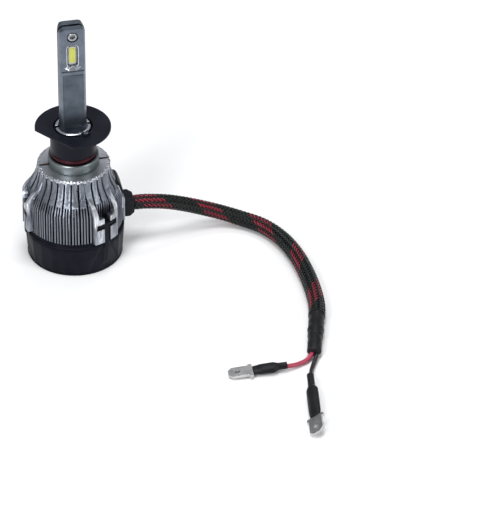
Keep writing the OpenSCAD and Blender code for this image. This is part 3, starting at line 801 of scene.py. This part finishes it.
def make_cords(mats):
    share = (BOOT_START + BOOT_LAP) / BOOT_SPAN
    under_boot = Vector(BOOT_ROUTE[0]).lerp(Vector(BOOT_ROUTE[1]), share)
    lifted = rest_on_floor(SLEEVE_ROUTE + [tuple(under_boot)])
    sweep = Sweep(lifted, 0.5)
    sleeve = braid("sleeve", sweep, [mats["braid"], mats["tracer"], mats["liner"]])
    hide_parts("braided_sleeve")
    red = lead("red_wire", RED_ROUTE, LEAD_D, mats["red_insulation"],
               "red_lead")
    black = lead("black_wire", BLACK_ROUTE, LEAD_D, mats["black_insulation"],
                 "black_lead")
    end_boot = boot(mats)
    red_end = shrunk_sleeve("red_shrink", RED_END, mats, ["red_terminal_sleeve"])
    black_end = shrunk_sleeve("black_shrink", BLACK_END, mats, ["black_terminal_sleeve"])


# ---------------------------------------------------------------- fan

CLIP_ANGLES = [radians(a) for a in (60, 180, 300)]
# Inner and outer radius, half width, bottom and top of a snap tab's stem and of its bar
CLIP_STEM = (15.2, 16.05, 1.05, 9, 17.4)
CLIP_BAR = (14.6, 16.05, 3.65, 17.25, 18.45)
HOUSING_R = 15.7
MOUTH_R = 14
HOUSING_H = 10.8
COLLAR_Z = 12.1                   # top of the thinner collar inside the heat sink
WALL_FACETS = 24
WALL_SIDES = 360
LIP_Z = 0.9                       # top of the rounded lip round the mouth
WALL_TOP = HOUSING_H - 0.5
PANEL_RISE = 0.24
PIER_RISE = 0.26                  # of the wall under each snap tab


def clip_offset(angle):
    """Angle from the nearest clip, in degrees, with its sign."""
    return min(((degrees(angle - clip) + 180) % 360 - 180 for clip in CLIP_ANGLES), key=abs)


def wall_relief(angle, r, z):
    """Flat facets, and raised panels whose slanting ends meet the mouth's lip."""
    if r < HOUSING_R - 1.2 or z < LIP_Z or z > WALL_TOP:
        return 0.0
    half = pi / WALL_FACETS
    across = (angle + half) % (2 * half) - half
    facet = HOUSING_R * (cos(half) / cos(across) - 1)
    off = abs(clip_offset(angle))
    edge = 9 + 13 * smooth_step(9.6, 1.4, z)
    panel = smooth_step(edge, edge + 1.3, off)
    panel *= smooth_step(LIP_Z, 1.5, z) * smooth_step(WALL_TOP, HOUSING_H - 1.1, z)
    pier = smooth_step(5.4, 4.6, off) * smooth_step(2.2, 3.2, z)
    return facet + PANEL_RISE * panel + PIER_RISE * pier - PANEL_RISE


def make_housing(mats):
    # Radius and height: round the lip, up the wall, over the collar and down the bore
    outer = [(MOUTH_R + 0.28, 0.0), (HOUSING_R - 0.95, 0.0), (HOUSING_R - 0.72, 0.12),
             (HOUSING_R - 0.62, 0.38), (HOUSING_R - 0.66, 0.7), (HOUSING_R - 0.5, 0.9)]
    outer += [(HOUSING_R - 0.5 + 0.5 * smooth_step(0.9, 10.2, z), z)
              for z in (1.0, 1.2, 1.4, 1.6, 2.2, 2.6, 3.0, 3.4, 4.2, 5, 5.8, 6.6, 7.4, 8.2, 9,
                        9.4, 9.7, 10, 10.2, 10.3)]
    outer += [(HOUSING_R - 0.02, 10.5), (HOUSING_R - 0.1, 10.7), (HOUSING_R - 0.35, HOUSING_H),
              (HOUSING_R - 0.62, HOUSING_H), (HOUSING_R - 0.7, HOUSING_H + 0.08),
              (HOUSING_R - 0.7, COLLAR_Z - 0.12), (HOUSING_R - 0.82, COLLAR_Z),
              (MOUTH_R + 0.05, COLLAR_Z), (MOUTH_R, COLLAR_Z - 0.05), (MOUTH_R, 0.4),
              (MOUTH_R + 0.08, 0.12)]
    verts, faces = lathe(outer, WALL_SIDES, wall_relief)
    piece("housing", verts, faces, "lamp", [mats["black_plastic"]],
          ["fan_housing"])
    tabs = []
    for angle in CLIP_ANGLES:
        tabs.append(turned(added([arched(*CLIP_STEM), arched(*CLIP_BAR)]), angle))
    verts, faces = added(tabs)
    soften(piece("snap_tabs", verts, faces, "lamp", [mats["black_plastic"]]),
           0.22, 3, clean=False)


BLADES = 5
HUB_R = 8
HUB_FACE = 0.9
HUB_TOP = 8.1
HUB_INSIDE = 1.92                 # inner face of the hub's end
SHAFT_R = 0.78
BLADE_R = 13.6
BLADE_SWEEP = radians(20)         # from the hub to the tip
BLADE_PITCH = radians(38)
BLADE_ROOT = 0.15                 # how far a blade starts inside the hub


def blade(start):
    """Pitched, swept and cambered fan blade with rounded edges."""
    spans, chords, skin = 12, 18, {}
    for i in range(spans + 1):
        t = i / spans
        r = HUB_R - BLADE_ROOT + (BLADE_R - HUB_R + BLADE_ROOT) * t
        sweep = BLADE_SWEEP * t ** 1.4
        arc = radians(50 - 5 * t)
        for k in range(chords + 1):
            c = k / chords
            angle = start + sweep + arc * (c - 0.5)
            rise = 7.6 - 6.1 * (c + 0.1 * sin(pi * c)) - 0.25 * t * (1 - c)
            round_off = sqrt(max(0.0, 1 - (2 * c - 1) ** 6))
            tip = sqrt(max(0.0, 1 - max(0.0, (t - 0.94) / 0.06) ** 2))
            half = (0.5 - 0.2 * t) * (0.15 + 0.85 * round_off) * (0.3 + 0.7 * tip)
            skin[i, k] = (r, angle, rise, half)
    top, bottom = [], []
    for i in range(spans + 1):
        for k in range(chords + 1):
            r, angle, rise, half = skin[i, k]
            for side, store in ((1, top), (-1, bottom)):
                turn = angle + side * half * sin(BLADE_PITCH) / r
                store.append((r * cos(turn), r * sin(turn),
                              rise + side * half * cos(BLADE_PITCH)))
    width = chords + 1
    count = (spans + 1) * width
    faces = [tuple(reversed(f)) for f in grid_faces(spans + 1, width, False)]
    faces += [tuple(count + i for i in f) for f in grid_faces(spans + 1, width, False)]
    rim = (list(range(width)) + [i * width + chords for i in range(1, spans + 1)]
           + [spans * width + k for k in range(chords - 1, -1, -1)]
           + [i * width for i in range(spans - 1, 0, -1)])
    faces += [(a, b, count + b, count + a) for a, b in zip(rim, rim[1:] + rim[:1])]
    return top + bottom, faces


def make_impeller(mats):
    hub = [(SHAFT_R, HUB_FACE + 0.25), (0.9, HUB_FACE + 0.2), (5.9, HUB_FACE + 0.16),
           (6.15, HUB_FACE + 0.02), (7.2, HUB_FACE), (7.6, HUB_FACE + 0.06),
           (7.88, HUB_FACE + 0.28), (HUB_R, HUB_FACE + 0.7), (HUB_R, HUB_TOP - 0.15),
           (HUB_R - 0.15, HUB_TOP), (HUB_R - 0.8, HUB_TOP), (HUB_R - 0.88, HUB_TOP - 0.1),
           (HUB_R - 0.88, HUB_INSIDE), (SHAFT_R, HUB_INSIDE)]
    shapes = [lathe(hub, 128)] + [blade(2 * pi * i / BLADES) for i in range(BLADES)]
    verts, faces = added(shapes)
    obj = piece("impeller_moulding", verts, faces, "fan_rotor",
                [mats["fan_plastic"]], ["impeller"])
    normals = obj.modifiers.new("normals", "WEIGHTED_NORMAL")
    normals.weight = 80


# ---------------------------------------------------------------- light window

LIGHT_Z = 75.4
WINDOW_W = 3
WINDOW_L = 7.5
BEVEL_W = 0.45
CORNER_R = 1.3
CREST_IN, CREST_UP = 0.25, 0.12   # where the bezel's crest is, from its outer edge
PANEL_Y = -2.35                   # the stem's front face
SEAT_Y = -1.95                    # the bezel's seat below it
FLARE_Z = LIGHT_Z - 3.1
FLARE_Y = -1.6                    # the flare's inner edge
FLARE_SKIN = 0.03
FLARE_ANGLES = (-157.5, -112.5, -67.5, -22.5)
PANEL_LOW = LIGHT_Z - 5.7         # the panel's lower edge, which the flare stops short of


def rounded_window(width, length, corner, y):
    """Points round a rounded rectangle on the stem's front face."""
    points, steps = [], 8
    for quarter, (sx, sz) in enumerate(((1, 1), (-1, 1), (-1, -1), (1, -1))):
        for k in range(steps + 1):
            angle = (quarter + k / steps) * pi / 2
            points.append((sx * (width / 2 - corner) + corner * cos(angle), y,
                           LIGHT_Z + sz * (length / 2 - corner) + corner * sin(angle)))
    return points


def window_bezel():
    """Polished slope between the panel and the window's edge, as a closed ring."""
    wide = WINDOW_W + 2 * BEVEL_W, WINDOW_L + 2 * BEVEL_W
    top = rounded_window(*wide, CORNER_R, PANEL_Y)
    low = rounded_window(*wide, CORNER_R, SEAT_Y)
    crest = rounded_window(wide[0] - 2 * CREST_IN, wide[1] - 2 * CREST_IN, CORNER_R - 0.15,
                           PANEL_Y + CREST_UP)
    count = len(top)
    verts = top + low + crest
    faces = []
    for k in range(count):
        n = (k + 1) % count
        for a, b in ((0, 2), (2, 1), (1, 0)):
            faces.append((a * count + k, b * count + k, b * count + n, a * count + n))
    return verts, faces


def window_flare():
    """Three polished facets that open downwards from the window."""
    loops = []
    for shift in (0.0, FLARE_SKIN):
        for share in (0.34, 1.0):
            y = FLARE_Y + (PANEL_Y - FLARE_Y) * share
            r = 0.9 + 2 * share
            points = []
            for angle in FLARE_ANGLES:
                x, z = r * cos(radians(angle)), r * sin(radians(angle))
                z = FLARE_Z + max(z, PANEL_LOW + 0.22 - FLARE_Z) - 0.02
                points.append((x, y - shift, z))
            loops.append(points)
    order = [loops[0], loops[1], loops[3], loops[2]]
    strips = [[ring[k] for ring in order] for k in range(len(FLARE_ANGLES))]
    return lofted(strips)


def make_windows(mats):
    for name, side in (("front", 1), ("rear", -1)):
        verts, faces = added([window_bezel(), window_flare()])
        verts = [(x, side * y, z) for x, y, z in verts]
        if side < 0:
            faces = [tuple(reversed(face)) for face in faces]
        piece("window_bezel_" + name, verts, faces, "lamp",
              [mats["polished"]], smooth=False)


# ---------------------------------------------------------------- small bright parts

SEAT_Z = 47.5
FOOT_R = 5.65
FOOT_TOP = SEAT_Z + 0.35
SCREW_Z = LIGHT_Z + 7.3
SHOULDER_R = 11.5
SHOULDER_Z = 33.8
GROOVES = 33                      # that run out through the shoulder's edge
HALF_SPLIT = 0.65                 # half the gap between the two halves of the foot's rim
FACET_RUN, FACET_HALF, FACET_SKIN = 0.62, 0.4, 0.04
FACET_SLOPE = radians(30)


def foot_arc(side):
    """Turned rim of one half of the tube the cap sits on."""
    ends = asin(HALF_SPLIT / FOOT_R)
    steps = 60
    profile = [(FOOT_R - 1.0, FOOT_TOP + 0.02), (FOOT_R - 0.95, FOOT_TOP + 0.06),
               (FOOT_R - 0.34, FOOT_TOP + 0.06), (FOOT_R - 0.05, FOOT_TOP - 0.2),
               (FOOT_R + 0.02, FOOT_TOP - 0.34), (FOOT_R - 0.1, FOOT_TOP - 0.34)]
    loops = []
    for k in range(steps + 1):
        angle = ends + (pi - 2 * ends) * k / steps
        loops.append([(r * cos(angle), side * r * sin(angle), z) for r, z in profile])
    if side > 0:
        loops.reverse()
    return lofted(loops)


def stem_screw(side):
    """Socket-head screw in one face of the stem."""
    # Radius, distance from the stem's middle, and 1 where the section is the hexagonal socket
    profile = [(0.5, 0.06, 0), (1, 0.06, 0), (1, 1.92, 0), (1.46, 1.92, 0), (1.46, 2.52, 0),
               (1.34, 2.64, 0), (1.04, 2.64, 0), (0.92, 2.56, 1), (0.84, 1.5, 1), (0.2, 1.5, 0)]
    loops, segments = [], 48
    for r, y, hexagonal in profile:
        loop = []
        for k in range(segments):
            angle = 2 * pi * k / segments
            across = (angle + pi / 6) % (pi / 3) - pi / 6
            reach = r * (cos(pi / 6) / cos(across) if hexagonal else 1)
            loop.append((reach * cos(angle), -side * y, SCREW_Z + side * reach * sin(angle)))
        loops.append(loop)
    return lofted(loops)


def groove_facet():
    """Bright cut where a groove runs out through the shoulder's edge, on +X."""
    start, top = SHOULDER_R - 0.6, SHOULDER_Z - 0.1
    end, low = start + FACET_RUN, top - FACET_RUN * sin(FACET_SLOPE)
    line = [(start, top), (end, low), (end, low - 0.5)]
    outer = [(start, top + FACET_SKIN), (end + FACET_SKIN, low + FACET_SKIN),
             (end + FACET_SKIN, low - 0.5)]
    loops = [[(x, y, z) for x, z in line + outer[::-1]] for y in (FACET_HALF, -FACET_HALF)]
    return lofted(loops)


def make_bright_parts(mats):
    verts, faces = added([foot_arc(-1), foot_arc(1)])
    piece("foot_rims", verts, faces, "lamp", [mats["polished"]])
    verts, faces = added([turned(groove_facet(), (i + 0.5) * 2 * pi / GROOVES)
                          for i in range(GROOVES)])
    piece("groove_facets", verts, faces, "lamp", [mats["polished"]],
          smooth=False)
    verts, faces = added([stem_screw(1), stem_screw(-1)])
    soften(piece("screw_heads", verts, faces, "lamp", [mats["steel"]], ["stem_screws"]),
           0.03, clean=False)


# ---------------------------------------------------------------- the scene

make_camera()
materials = dress_cad_nodes()
make_cords(materials)
make_housing(materials)
make_impeller(materials)
make_windows(materials)
make_bright_parts(materials)
make_light()
make_floor()

bpy.context.scene.view_settings.view_transform = "Standard"
